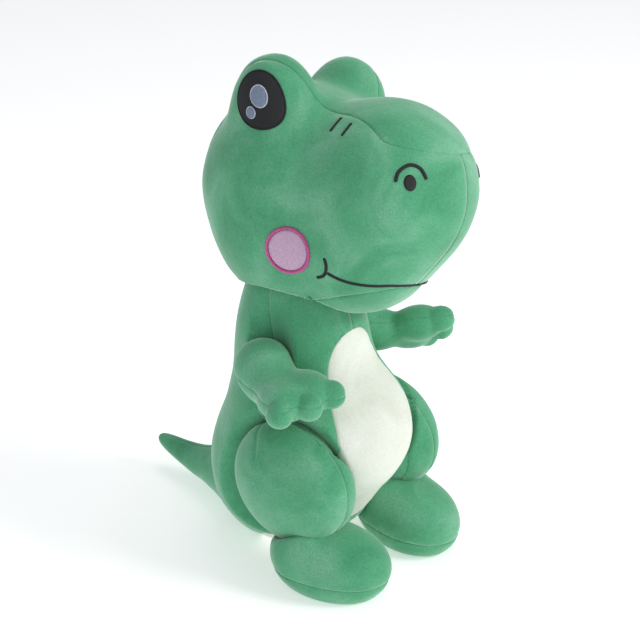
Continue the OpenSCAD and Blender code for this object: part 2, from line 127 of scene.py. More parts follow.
def mix_node(tree, kind, fac, a, b):
    node = tree.nodes.new("ShaderNodeMix")
    node.data_type = "RGBA"
    node.blend_type = kind
    for value, socket in ((fac, node.inputs[0]), (a, node.inputs[6]), (b, node.inputs[7])):
        if isinstance(value, bpy.types.NodeSocket):
            tree.links.new(value, socket)
        else:
            socket.default_value = value
    return node.outputs[2]


def bump_node(tree, height, strength, distance, below=None):
    node = tree.nodes.new("ShaderNodeBump")
    node.inputs["Strength"].default_value = strength
    node.inputs["Distance"].default_value = distance
    tree.links.new(height, node.inputs["Height"])
    if below is not None:
        tree.links.new(below, node.inputs["Normal"])
    return node.outputs["Normal"]


def srgb(r, g, b):
    return tuple(((c / 255 + 0.055) / 1.055) ** 2.4 if c > 10 else c / 255 / 12.92 for c in (r, g, b))


def plush(name, deep, mid, pale, sheen, tint, grit):
    """Short velvety pile: brushed patches where the nap lies another way, a fine grain, and a soft sheen."""
    mat, tree, shader = nodes_of(name)
    coords = tree.nodes.new("ShaderNodeTexCoord").outputs["Object"]
    clouds = noise_node(tree, coords, 17, 4.0, 0.55, 0.6)
    nap = ramp_node(tree, clouds, [(0.32, deep), (0.5, mid), (0.68, pale)])
    grain = noise_node(tree, coords, 620, 3.0, 0.7)
    speck = ramp_node(tree, grain, [(0.3, (0.80, 0.80, 0.80)), (0.7, (1.16, 1.16, 1.16))])
    colour = mix_node(tree, "MULTIPLY", grit, nap, speck)
    tree.links.new(colour, shader.inputs["Base Color"])
    shader.inputs["Roughness"].default_value = 0.88
    shader.inputs["Specular IOR Level"].default_value = 0.18
    shader.inputs["Sheen Weight"].default_value = sheen
    shader.inputs["Sheen Roughness"].default_value = 0.42
    shader.inputs["Sheen Tint"].default_value = (*tint, 1)
    soft = bump_node(tree, noise_node(tree, coords, 95, 3.0, 0.6), 0.35, 0.0012)
    tree.links.new(bump_node(tree, grain, 0.4, 0.0006, soft), shader.inputs["Normal"])
    return mat


def satin(name, colour, valley_shade, rows, angle, rough=0.45, sheen=0.25):
    """Rows of embroidery thread lying side by side, with painted shade in the valleys between the rows."""
    mat, tree, shader = nodes_of(name)
    coords = tree.nodes.new("ShaderNodeTexCoord").outputs["Object"]
    turn = tree.nodes.new("ShaderNodeMapping")
    turn.inputs["Rotation"].default_value = angle
    tree.links.new(coords, turn.inputs["Vector"])
    wave = tree.nodes.new("ShaderNodeTexWave")
    wave.inputs["Scale"].default_value = rows
    wave.inputs["Distortion"].default_value = 1.5
    wave.inputs["Detail"].default_value = 2.0
    wave.inputs["Detail Scale"].default_value = 1.2
    tree.links.new(turn.outputs["Vector"], wave.inputs["Vector"])
    # Painted shade: the thread colour darkens towards the second colour where the wave, which also drives
    # the bump, dips between thread rows.
    shade = ramp_node(tree, wave.outputs["Fac"], [(0.1, valley_shade), (0.75, colour)])
    fleck = ramp_node(tree, noise_node(tree, coords, 500, 2.0, 0.6),
                      [(0.35, (0.86, 0.86, 0.86)), (0.7, (1.08, 1.08, 1.08))])
    tree.links.new(mix_node(tree, "MULTIPLY", 0.8, shade, fleck), shader.inputs["Base Color"])
    shader.inputs["Roughness"].default_value = rough
    shader.inputs["Sheen Weight"].default_value = sheen
    tree.links.new(bump_node(tree, wave.outputs["Fac"], 0.5, 0.0004), shader.inputs["Normal"])
    return mat


def wool(name):
    mat, tree, shader = nodes_of(name)
    coords = tree.nodes.new("ShaderNodeTexCoord").outputs["Object"]
    fibres = noise_node(tree, coords, 160, 6.0, 0.75, 2.0)
    tree.links.new(ramp_node(tree, fibres, [(0.3, (0.72, 0.72, 0.70)), (0.7, (0.93, 0.93, 0.92))]),
                   shader.inputs["Base Color"])
    shader.inputs["Roughness"].default_value = 1.0
    shader.inputs["Sheen Weight"].default_value = 0.3
    tree.links.new(bump_node(tree, fibres, 0.8, 0.002), shader.inputs["Normal"])
    return mat


MATERIALS = {
    "green_plush": plush("green_plush", srgb(70, 150, 109), srgb(86, 166, 124), srgb(114, 180, 145),
                         0.7, (0.80, 1.0, 0.88), 0.9),
    "cream_plush": plush("cream_plush", srgb(224, 227, 213), srgb(233, 236, 225), srgb(241, 243, 235),
                         0.3, (1.0, 1.0, 0.97), 0.3),
    "embroidery_black": satin("embroidery_black", srgb(18, 22, 26), srgb(6, 8, 10), 320,
                              (0.3, 0.9, 0.2), 0.6, 0.0),
    "eye_glint": satin("eye_glint", srgb(138, 152, 178), srgb(104, 118, 144), 300, (0.4, 1.0, 0.5)),
    "eye_outline": satin("eye_outline", srgb(205, 213, 228), srgb(160, 168, 190), 300, (0.9, 0.2, 0.5)),
    "cheek_pink": satin("cheek_pink", srgb(208, 176, 204), srgb(186, 150, 180), 260, (0.5, 0.2, 0.9)),
    "cheek_rose": satin("cheek_rose", srgb(222, 86, 164), srgb(176, 48, 120), 300, (0.2, 0.8, 0.3)),
    "wadding": wool("wadding"),
}

# ---------------------------------------------------------------- shapes, in millimetres
# Each blob is a centre and three radii. They follow the CAD model's blobs, apart from the left eye bump,
# which is 1 to 2 mm larger and further out. The gaps beside the limbs are narrower than the CAD model's.

HEAD = [((0, 22, 96), (88, 86, 86)), ((0, -66, 110), (76, 76, 74)), ((0, 8, 44), (65, 75, 56)),
        ((0, -48, 60), (62, 62, 58)), ((-50, 28, 166), (28, 36, 39)), ((52, 26, 168), (30, 37, 40))]
BELLY = ((0, -8, 121), (72, 85, 66))
HIP = ((0, 24, 72), (75, 78, 76))
SEAT = ((0, 52, 34), (40, 48, 34))
TORSO = [BELLY, HIP, SEAT, ((0, 16, 188), (55, 62, 104))]
ARM = [((0, 0, 0), (25, 25, 25)), ((-3, -18, -8), (23, 25, 19)), ((-12, -46, -10), (20.5, 24, 16.5)),
       ((13, -49, -7), (19.5, 24, 16.5))]
FINGERS = [((-26, -61, -13), (11, 12, 11)), ((-1, -68, -10), (12, 12.5, 12)), ((24, -65, -7), (12, 13, 12))]
ARM_LENGTH = {-1: 1.0, 1: 1.16}
THIGH = ((64, -23, 92), (32, 56, 56))
KNEE = ((58, -50, 92), (26, 36, 38))
FOOT = [((0, 0, 0), (38, 55, 36)), ((0, 24, 11), (36, 31, 34))]
HEAD_HEART = np.array((0.0, -10, 100))
TORSO_HEART = np.array((0.0, 8, 110))
ARM_HEART = np.array((-2.0, -34, -6))
LEG_HEART = np.array((74.0, -30, 84))
NECK = np.array((0.0, 10, 236))
NECK_R = 50
TAIL_ROOT = np.array((0.0, 88, 29.4))
TAIL_R = 29
TAIL_LENGTH = 117
TAIL_W = 38
FEET = {-1: ((57, -67, 22), -14), 1: ((50, -70, 22), -8)}
GAP = 0.5
FAR = 1000.0
# How fast a skin widens again beside a pocket: mm for each pocket radius.
HEAD_FLARE = 700.0
LIMB_FLARE = 600.0


def shoulder(s):
    return np.array((s * 62.0, 6, 192))


def turn(x, y, z):
    """The turn about X, then Y, then Z, in degrees."""
    x, y, z = (math.radians(v) for v in (x, y, z))
    rx = np.array(((1, 0, 0), (0, math.cos(x), -math.sin(x)), (0, math.sin(x), math.cos(x))))
    ry = np.array(((math.cos(y), 0, math.sin(y)), (0, 1, 0), (-math.sin(y), 0, math.cos(y))))
    rz = np.array(((math.cos(z), -math.sin(z), 0), (math.sin(z), math.cos(z), 0), (0, 0, 1)))
    return rz @ ry @ rx


HEAD_TURN = turn(0, 14, 3)
ARM_TURN = {-1: turn(0, 0, -14), 1: turn(-1, 34, 48)}


def gap_to(p, blob):
    """Gap from points to the skin of an ellipsoid, negative inside it."""
    c, r = np.array(blob[0], float), np.array(blob[1], float)
    q = (p - c) / r
    k = np.linalg.norm(q, axis=-1)
    return k * (k - 1) / np.maximum(np.linalg.norm(q / r, axis=-1), 1e-4)


def skin_gap(p, blobs, melt):
    """Gap to blobs that melt into one smooth body."""
    return -melt * np.log(sum(np.exp(-np.clip(gap_to(p, b), -400, 400) / melt) for b in blobs))


def reach(c, d, blobs, melt, start):
    """How far melted blobs reach from a point inside them, stepping in from a far start."""
    t = np.full(d.shape[:-1], float(start))
    for _ in range(40):
        t = t - 0.95 * skin_gap(c + d * t[..., None], blobs, melt)
    return t


def leaving(c, d, blob):
    """Where a ray from a point leaves an ellipsoid."""
    r = np.array(blob[1], float)
    e, f = d / r, (c - np.array(blob[0], float)) / r
    a, b = (e * e).sum(-1), (e * f).sum(-1)
    h = b * b - a * ((f * f).sum() - 1)
    return np.where(h > 0, (-b + np.sqrt(np.maximum(h, 0))) / a, -FAR)


def hollow(c, d, blob, flare=150.0):
    """Where a ray enters an ellipsoid pocket; past its rim the reach grows by the flare."""
    r = np.array(blob[1], float)
    e, f = d / r, (c - np.array(blob[0], float)) / r
    t = -(e * f).sum(-1) / (e * e).sum(-1)
    miss = np.linalg.norm(f + e * t[..., None], axis=-1)
    inside = t - np.sqrt(np.maximum(1 - miss * miss, 0)) / np.linalg.norm(e, axis=-1)
    return np.where(t < 0, FAR, np.where(miss < 1, inside, t + flare * (miss - 1)))


def grown(blob, by):
    return (blob[0], tuple(v + by for v in blob[1]))


def ball(c, r):
    return (tuple(c), (r, r, r))


def lower(values, soft):
    """The least of several distances, rounded off where they cross."""
    values = [np.minimum(v, FAR) for v in values]
    least = np.minimum.reduce(values)
    return least - soft * np.log(sum(np.exp(-(v - least) / soft) for v in values))


def upper(values, soft):
    """The greatest of several distances, with a fillet where they cross."""
    most = np.maximum.reduce(values)
    return most + soft * np.log(sum(np.exp(np.maximum(v - most, -FAR) / soft) for v in values))


def floor_hit(c, d):
    return np.where(d[..., 2] < -0.001, -c[2] / np.minimum(d[..., 2], -0.001), FAR)


def head_reach(d):
    return lower([reach(HEAD_HEART, d, HEAD, 9, 190),
                  hollow(HEAD_HEART, d, ball((0, 0, 0), NECK_R + GAP), HEAD_FLARE)], 2.0)


def torso_reach(d):
    c = TORSO_HEART
    side = d * np.array((1, 1, 1.0))
    side[..., 0] = np.abs(side[..., 0])
    skin = reach(c, d, TORSO, 12, 200)
    bell = leaving(c, d, ((0, 12, 170), (76, 76, 106)))
    high = np.clip((c[2] + skin * d[..., 2] - 210) / 35, 0, 1)
    skin = skin - high * high * (3 - 2 * high) * np.maximum(skin - bell, 0)
    skin = lower([skin, hollow(c, side, grown(THIGH, GAP)), hollow(c, side, ball(shoulder(1), 25 + GAP)),
                  hollow(c, d, (tuple(TAIL_ROOT), (TAIL_W + GAP, TAIL_W + GAP, TAIL_R + GAP)))], 1.6)
    return lower([skin, floor_hit(c, d)], 0.5)


def arm_reach(s):
    blobs, fingers = ([((c[0], c[1] * ARM_LENGTH[s], c[2]), r) for c, r in part] for part in (ARM, FINGERS))

    def go(d):
        c = shoulder(s) + ARM_TURN[s] @ (ARM_HEART * np.array((-s, 1, 1)))
        w = (d * np.array((-s, 1, 1))) @ ARM_TURN[s].T
        clear = np.minimum.reduce([hollow(c, w, grown(b, GAP), LIMB_FLARE) for b in TORSO])
        skin = [reach(ARM_HEART, d, blobs, 3.5, 110)] + [leaving(ARM_HEART, d, b) for b in fingers]
        return np.maximum(leaving(ARM_HEART, d, ARM[0]),
                          lower([upper(skin, 0.8), clear], 1.0))
    return go


def leg_reach(d):
    clear = np.minimum.reduce([hollow(LEG_HEART, d, grown(b, GAP), LIMB_FLARE) for b in (BELLY, HIP)])
    return np.maximum(leaving(LEG_HEART, d, THIGH),
                      lower([reach(LEG_HEART, d, [THIGH, KNEE], 8, 110), clear], 1.0))


def foot_reach(foot):
    c, toe_out = np.array(foot[0], float), foot[1]

    def go(d):
        w = d @ turn(0, 0, -toe_out).T
        return lower([reach(np.array((0, 0, -2.0)), w, FOOT, 4, 90),
                      hollow(c, d, grown(THIGH, 1.5)), hollow(c, d, grown(KNEE, 2.5)),
                      hollow(c, d, grown(HIP, 2.0)), hollow(c, d, grown(SEAT, 2.0)), floor_hit(c, d)], 0.8)
    return go


# ---------------------------------------------------------------- seams

CHIN = (-125, -34)
CROWN = (23, 215)
BASE = (-107, -64)
BELLY_SPAN = (-52, 65)
SIDE_SEAM = 93


def rounded(x):
    return np.sqrt(1 - (1 - np.clip(x, 0, 1)) ** 2)


def head_strip(v):
    v = np.asarray(v, float)
    chin = 24 * rounded((CHIN[1] - v) / 27) * rounded((v - CHIN[0]) / 30)
    crown = 31 * rounded((v - CROWN[0]) / 14) * rounded((CROWN[1] - v) / 60)
    return np.where(v <= CHIN[1], chin, np.where((v > CROWN[0]) & (v <= CROWN[1]), crown, 0))


def torso_strip(v):
    v = np.asarray(v, float)
    w = np.where(v > BASE[0] + 360, v - 360, v)
    base = 29 * rounded((w - BASE[0]) / 14) * rounded((BASE[1] - w) / 24)
    belly = 34 * rounded((BELLY_SPAN[1] - w) / 80) ** 0.6 * rounded((w - BELLY_SPAN[0]) / 40) ** 0.8
    return np.where(w <= BASE[1], base, np.where((w > BELLY_SPAN[0]) & (w <= BELLY_SPAN[1]), belly, 0))


def sideways(across, around):
    a, v = np.radians(across), np.radians(around)
    a, v = np.broadcast_arrays(a, v)
    return np.stack([np.sin(a), -np.cos(a) * np.cos(v), np.cos(a) * np.sin(v)], -1)


def upright(up, around):
    a, v = np.broadcast_arrays(np.radians(up), np.radians(around))
    return np.stack([np.cos(a) * np.cos(v), np.cos(a) * np.sin(v), np.sin(a)], -1)


def even(a, b, n):
    return np.linspace(a, b, n + 1)


def crowded(a, b, n):
    return (a + b) / 2 - (b - a) / 2 * np.cos(np.pi * np.arange(n + 1) / n)


def side_grid(s, ring, strip, rows):
    k = np.arange(rows + 1)[:, None] / rows
    return sideways(s * (90 - (90 - strip(ring))[None] * k), ring[None])


def strip_grid(ring, strip, rows):
    k = 2 * np.arange(rows + 1)[:, None] / rows - 1
    return sideways(strip(ring)[None] * k, ring[None])


def band_grid(a, b, rows, columns):
    return sideways(even(a, b, rows)[:, None], even(0, 360, columns)[None])


def cap_grid(a, b, rows, columns):
    return upright(even(a, b, rows)[:, None], even(0, 360, columns)[None])


# ---------------------------------------------------------------- relief


def lattice(i, seed):
    h = np.sin(i[..., 0] * 127.1 + i[..., 1] * 311.7 + i[..., 2] * 74.7 + seed * 53.9) * 43758.5453
    return h - np.floor(h)


def bumps(p, cell, seed=0):
    """Smooth noise from -1 to 1 with bumps about one cell across."""
    q = p / cell
    i = np.floor(q)
    f = q - i
    f = f * f * f * (f * (6 * f - 15) + 10)
    total = 0
    for corner in range(8):
        o = np.array((corner & 1, corner >> 1 & 1, corner >> 2 & 1), float)
        w = np.prod(np.where(o > 0, f, 1 - f), -1)
        total = total + w * lattice(i + o, seed)
    return 2 * total - 1


def nearest(p, seams):
    """Distance from every point to the nearest seam point."""
    flat = p.reshape(-1, 3)
    out = np.empty(len(flat))
    for k in range(0, len(flat), 4000):
        d = ((flat[k:k + 4000, None] - seams[None]) ** 2).sum(-1)
        out[k:k + 4000] = np.sqrt(d.min(1))
    return out.reshape(p.shape[:-1])


def seam_points(c, d, skin):
    """Points along a seam, without repeated ones."""
    p = c + d * skin(d)[..., None]
    step = np.linalg.norm(np.diff(p, axis=0), axis=-1)
    return p[np.concatenate([[True], step > 0.01])]


def relief(p, seams, depth=2.0, width=9.0, lump=0.8, seed=0):
    """Height of the fabric: a groove along the seams, small puckers beside them, and soft lumps."""
    s = nearest(p, seams)
    groove = -depth * (0.6 * np.exp(-s / (0.25 * width)) + 0.4 * np.exp(-(s / (1.3 * width)) ** 2))
    pucker = 0.4 * np.exp(-(s / width) ** 2) * bumps(p, 5.5, seed + 1) * np.minimum(s / 1.5, 1)
    return groove + pucker + lump * (bumps(p, 46, seed + 2) + 0.4 * bumps(p, 19, seed + 3))


def outward(c, d, skin):
    """Points and outward normals of a star-shaped skin."""
    t = skin(d)
    a = np.cross(d, np.array((0.31, 0.52, 0.79)))
    a /= np.linalg.norm(a, axis=-1, keepdims=True)
    b = np.cross(d, a)
    e = 0.012
    p = c + d * t[..., None]

    def at(w):
        w = w / np.linalg.norm(w, axis=-1, keepdims=True)
        return c + w * skin(w)[..., None]
    n = np.cross(at(d + e * a) - p, at(d + e * b) - p)
    n /= np.maximum(np.linalg.norm(n, axis=-1, keepdims=True), 1e-9)
    n *= np.sign((n * d).sum(-1))[..., None]
    return p, n


# ---------------------------------------------------------------- meshes


def mesh_object(name, points, faces):
    mesh = bpy.data.meshes.new(name)
    mesh.from_pydata((points * MM).tolist(), [], faces)
    mesh.update()
    mesh.shade_smooth()
    obj = bpy.data.objects.new(name, mesh)
    bpy.context.scene.collection.objects.link(obj)
    return obj


def grid_faces(n, m, pole_first, pole_last, tips, ring):
    """Index grid and faces of a grid of points whose ends may close."""
    index = np.arange((n + 1) * (m + 1)).reshape(n + 1, m + 1)
    if ring:
        index[:, m] = index[:, 0]
    if pole_first:
        index[0, :] = index[0, m // 2]
    if pole_last:
        index[n, :] = index[n, m // 2]
    if tips:
        index[:, 0] = index[n // 2, 0]
        index[:, m] = index[n // 2, m]
    faces = []
    for i in range(n):
        for j in range(m):
            quad = [index[i, j], index[i + 1, j], index[i + 1, j + 1], index[i, j + 1]]
            face = [int(q) for k, q in enumerate(quad) if q not in quad[:k]]
            if len(face) > 2:
                faces.append(face)
    return index, faces


def surface(name, points, pole_first=False, pole_last=False, tips=False, ring=False, thick=1.4):
    """A sheet of fabric through a grid of points, with its outside away from the grid's middle."""
    n, m = points.shape[0] - 1, points.shape[1] - 1
    index, faces = grid_faces(n, m, pole_first, pole_last, tips, ring)
    used, place = np.unique(index, return_inverse=True)
    place = place.reshape(index.shape)
    remap = {int(u): k for k, u in enumerate(used)}
    faces = [[remap[q] for q in f] for f in faces]
    obj = mesh_object(name, points.reshape(-1, 3)[used], faces)
    if thick:
        shell = obj.modifiers.new("thickness", "SOLIDIFY")
        shell.thickness = thick * MM
        shell.offset = -1
    return obj


def face_out(obj, centre):
    """Turns the faces over if they look towards centre, given in metres."""
    total = sum((p.center - Vector(centre)).dot(p.normal) * p.area for p in obj.data.polygons)
    if total < 0:
        obj.data.flip_normals()


def finish_piece(obj, body, slot, replaces=()):
    obj.data.materials.append(MATERIALS[slot])
    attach(obj, body)
    if replaces:
        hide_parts(*replaces)
    return obj


def place(p, kind):
    """Part coordinates to the row frame. kind is head, torso, arm_right, leg_left and so on."""
    if kind == "head":
        return NECK + p @ HEAD_TURN.T
    if kind.startswith("arm"):
        s = -1 if kind.endswith("right") else 1
        return shoulder(s) + (p * np.array((-s, 1, 1))) @ ARM_TURN[s].T
    if kind == "leg_right":
        return p * np.array((-1, 1, 1))
    return p


FOLD = (0.9, 2.4, 4.2)


def folded(p, n, rise, edges):
    """Adds rows that turn in along the sewn edges. edges is any of first, last, start, end."""
    before = [len(FOLD) * (side in edges) for side in ("first", "start")]
    after = [len(FOLD) * (side in edges) for side in ("last", "end")]
    pads = [(before[k], after[k]) for k in (0, 1)]
    deep = 0
    for k in (0, 1):
        fold = np.concatenate([FOLD[::-1][:pads[k][0]], np.zeros(p.shape[k]), FOLD[:pads[k][1]]])
        deep = deep + fold.reshape((-1, 1) if k == 0 else (1, -1))
    rise = np.pad(rise, pads, "edge") - np.minimum(deep, FOLD[-1])
    return np.pad(p, pads + [(0, 0)], "edge"), np.pad(n, pads + [(0, 0)], "edge"), rise


def panel(name, kind, c, grid, skin, seams, edges, slot, seed=0, depth=2.0, width=9.0, lump=0.8, extra=None,
          low=None, **shape):
    p, n = outward(c, grid, skin)
    rise = relief(p, seams, depth, width, lump, seed)
    if extra is not None:
        rise = rise + extra(p)
    p, n, rise = folded(p, n, rise, edges)
    if low is not None:
        rise = rise * np.clip((place(p, kind)[..., 2]) / low, 0, 1)
    p = p + n * rise[..., None]
    world = place(p, kind)
    if low is not None:
        world[..., 2] = np.maximum(world[..., 2], 0.0)
    obj = surface(name, world, **shape)
    face_out(obj, place(c[None], kind)[0] * MM)
    return finish_piece(obj, kind, slot, (name_node(name),))


def name_node(name):
    return name.removesuffix("_fabric")


def filling(node, kind, c, grid, skin, inset=7.5):
    p, n = outward(c, grid, skin)
    p = c + (p - c) * (1 - inset / np.linalg.norm(p - c, axis=-1))[..., None]
    p = p + n * (0.8 * bumps(p, 9, 5) + 0.6 * bumps(p, 23, 7))[..., None]
    world = place(p, kind)
    world[..., 2] = np.maximum(world[..., 2], 4.0)
    obj = surface(node + "_fibre", world, pole_first=True, pole_last=True, ring=True, thick=0)
    face_out(obj, place(c[None], kind)[0] * MM)
    return finish_piece(obj, kind, "wadding", (node,))


# ---------------------------------------------------------------- head


def build_head():
    vs = {"chin": crowded(*CHIN, 150), "crown": crowded(*CROWN, 300)}
    lines = []
    for ring in vs.values():
        for s in (-1, 1):
            lines.append(seam_points(HEAD_HEART, sideways(s * head_strip(ring), ring), head_reach))
    lines.append(seam_points(HEAD_HEART, sideways(0, even(CROWN[1], CHIN[0] + 360, 60)), head_reach))
    for s in (-1, 1):
        dart = [even(-69, -68, 60), even(-145, -96, 60)]
        lines.append(seam_points(HEAD_HEART, sideways(-s * dart[0], dart[1]), head_reach))
        dart = [even(-34, -30.8, 10), even(17.1, 16.4, 10)]
        lines.append(seam_points(HEAD_HEART, sideways(-s * dart[0], dart[1]), head_reach))
    seams = np.concatenate(lines)
    ring = np.concatenate([crowded(*CHIN, 90), even(CHIN[1], CROWN[0], 36)[1:], crowded(*CROWN, 170)[1:],
                           even(CROWN[1], CHIN[0] + 360, 14)[1:]])
    look = dict(seams=seams, depth=1.3, width=6, lump=0.9, seed=3)
    for s, side in SIDES:
        panel(f"head_side_panel_{side}_fabric", "head", HEAD_HEART, side_grid(s, ring, head_strip, 64),
              head_reach, edges=("last",), slot="green_plush", pole_first=True, ring=True, **look)
    panel("crown_gusset_fabric", "head", HEAD_HEART, strip_grid(crowded(*CROWN, 170), head_strip, 36),
          head_reach, edges=("first", "last"), slot="green_plush", tips=True, **look)
    panel("chin_gusset_fabric", "head", HEAD_HEART, strip_grid(crowded(*CHIN, 90), head_strip, 24),
          head_reach, edges=("first", "last"), slot="green_plush", tips=True, **look)
    filling("head_stuffing", "head", HEAD_HEART, band_grid(90, -90, 60, 120), head_reach, inset=10)
    return seams


def head_point(across, around, look):
    """Points and normals of the finished head fabric in given directions."""
    d = sideways(across, around)
    p, n = outward(HEAD_HEART, d, head_reach)
    return p + n * relief(p, **look)[..., None], n


def near(place_at, x, y):
    """Directions at x mm along and y mm up the head from a place."""
    d = sideways(place_at[0], place_at[1])
    r = head_reach(d[None])[0]
    v = math.radians(place_at[1])
    e = np.array((0, math.sin(v), math.cos(v)))
    f = np.cross(e, d)
    q = d * r + x[..., None] * e + y[..., None] * f
    return q / np.linalg.norm(q, axis=-1, keepdims=True)


def disc(name, s, at, size, slot, look, replaces=(), rise=1.2, base=0.2, rings=14, segments=64, hole=0.0,
         dome=0.0):
    """A patch of embroidery on the head with rounded edges: a disc, or a ring if it has a hole."""
    k = np.linspace(hole, 1, rings + 1)[:, None]
    a = even(0, 2 * np.pi, segments)[None]
    d = mirrored(near(at, k * size[0] * np.sin(a), k * size[1] * np.cos(a)), s)
    p, n = outward(HEAD_HEART, d, head_reach)
    p = p + n * relief(p, **look)[..., None]
    edge = (1 - k) * min(size)
    if hole:
        u = (k - hole) / (1 - hole)
        lift = rise * np.sqrt(np.clip(1 - (2 * u - 1) ** 2, 0, 1)) + 0 * a
    else:
        rim = np.sqrt(np.clip(1 - (1 - np.minimum(edge / 2.0, 1)) ** 2, 0, 1))
        lift = rise * rim + dome * (1 - k * k) + 0 * a
    p = p + n * (base + lift)[..., None]
    obj = surface(name, place(p, "head"), pole_first=hole == 0, ring=True, thick=0.9)
    face_out(obj, place(HEAD_HEART[None], "head")[0] * MM)
    return finish_piece(obj, "head", slot, replaces)


def mirrored(p, s):
    return p * np.array((-1, 1, 1)) if s > 0 else p


def smooth_path(places, steps):
    """A smooth line of (across, around) angles through a few places."""
    q = np.array(places, float)
    n = len(q) - 1
    t = np.linspace(0, n, n * steps + 1)
    k = np.minimum(t.astype(int), n - 1)
    f = (t - k)[:, None]
    a, b, c, d = q[np.maximum(k - 1, 0)], q[k], q[k + 1], q[np.minimum(k + 2, n)]
    square, cube = 2 * a - 5 * b + 4 * c - d, 3 * b - a - 3 * c + d
    return 0.5 * (2 * b + f * (c - a) + f ** 2 * square + f ** 3 * cube)


def stitch(name, s, lines, look, replaces=(), width=2.5, height=1.1):
    """Lines of satin stitch: a low rounded bead on the fabric, with rounded ends."""
    parts = []
    for places in lines:
        q = smooth_path(places, 26)
        p, n = head_point(-s * q[:, 0], q[:, 1], look)
        along = np.gradient(p, axis=0)
        along /= np.linalg.norm(along, axis=-1, keepdims=True)
        across = np.cross(n, along)
        run = np.concatenate([[0], np.cumsum(np.linalg.norm(np.diff(p, axis=0), axis=-1))])
        end = np.minimum(run, run[-1] - run)
        taper = np.sqrt(np.clip(1 - (1 - np.minimum(end / (width * 0.55), 1)) ** 2, 0.02, 1))
        ring = even(0, 2 * np.pi, 12)
        threads = 1 + 0.05 * np.sin(run * 2 * np.pi / 0.8)
        thick = (taper * threads)[:, None]
        wide = width / 2 * thick * np.cos(ring)[None]
        tall = 0.15 + height * 0.9 * thick * np.sin(ring)[None]
        bead = p[:, None] + across[:, None] * wide[..., None] + n[:, None] * tall[..., None]
        first, last = np.repeat(p[:1, None], 13, 1), np.repeat(p[-1:, None], 13, 1)
        parts.append(np.concatenate([first, bead, last]))
    verts, faces, start = [], [], 0
    for part in parts:
        index, found = grid_faces(part.shape[0] - 1, part.shape[1] - 1, True, True, False, True)
        used = np.unique(index)
        remap = {int(u): k + start for k, u in enumerate(used)}
        verts.append(part.reshape(-1, 3)[used])
        faces += [[remap[i] for i in f] for f in found]
        start += len(used)
    obj = mesh_object(name, place(np.concatenate(verts), "head"), faces)
    fix_normals(obj)
    return finish_piece(obj, "head", "embroidery_black", replaces)


def fix_normals(obj):
    work = bmesh.new()
    work.from_mesh(obj.data)
    bmesh.ops.recalc_face_normals(work, faces=work.faces)
    work.to_mesh(obj.data)
    work.free()


def build_face(seams):
    look = dict(seams=seams, depth=1.3, width=6, lump=0.9, seed=3)
    for s, side in SIDES:
        eye, cheek, nostril = (-47, 115), (-54.7, -74), (-25.2, 13.3)
        disc(f"eye_patch_{side}_fabric", s, eye, (22, 20.5), "embroidery_black", look,
             (f"eye_patch_{side}",), rise=1.1, rings=16)
        disc(f"eye_rim_{side}", s, eye, (22.6, 21.1), "embroidery_black", look, rise=1.3, hole=0.92, rings=6)
        disc(f"eye_glint_large_{side}", s, (-45.6, 114), (7, 7), "eye_glint", look,
             (f"eye_glints_{side}",), rise=0.8, base=1.35, rings=8, segments=48)
        disc(f"eye_glint_small_{side}", s, (-50.2, 122.5), (3.7, 3.7), "eye_glint", look,
             rise=0.8, base=1.35, rings=6, segments=40)
        disc(f"eye_glint_large_rim_{side}", s, (-45.6, 114), (7.7, 7.6), "eye_outline", look, rise=0.7,
             base=1.4, hole=0.86, rings=5, segments=48)
        disc(f"eye_glint_small_rim_{side}", s, (-50.2, 122.5), (4.4, 4.2), "eye_outline", look, rise=0.7,
             base=1.4, hole=0.8, rings=5, segments=40)
        disc(f"cheek_pad_{side}_fabric", s, cheek, (17.4, 17.4), "cheek_pink", look, (f"cheek_pad_{side}",),
             rise=0.8, dome=1.4, rings=14)
        disc(f"cheek_ring_{side}_fabric", s, cheek, (20.2, 20.2), "cheek_rose", look,
             (f"cheek_ring_{side}",), rise=1.5, hole=0.855, rings=8, segments=80)
        disc(f"nostril_dot_{side}_fabric", s, nostril, (6.6, 4.9), "embroidery_black", look,
             (f"nostril_dot_{side}",), rise=1.1, rings=7, segments=40)
        stitch(f"nostril_arc_{side}_fabric", s,
               [[(-30.4, 13.9), (-28.8, 18.2), (-24.6, 20.6), (-20.8, 18.8), (-19.0, 14.2)]], look,
               (f"nostril_arc_{side}",), width=3.0)
        stitch(f"brow_stitches_{side}_fabric", s,
               [[(-34, 63.5), (-44.6, 59.2)], [(-34.8, 53.5), (-42.9, 49.1)]], look,
               (f"brow_stitches_{side}",), width=2.5, height=0.9)
        stitch(f"mouth_stitch_{side}_fabric", s,
               [[(-37.4, -60.5), (-37.4, -54.5), (-40.5, -49), (-44.2, -46.1)],
                [(-37.8, -51.6), (-32.4, -47.9), (-26.8, -43.6), (-20.6, -39), (-14.6, -35.6),
                 (-7, -33.6), (-0.3, -33)]], look, (f"mouth_stitch_{side}",), width=2.8)


# ---------------------------------------------------------------- torso


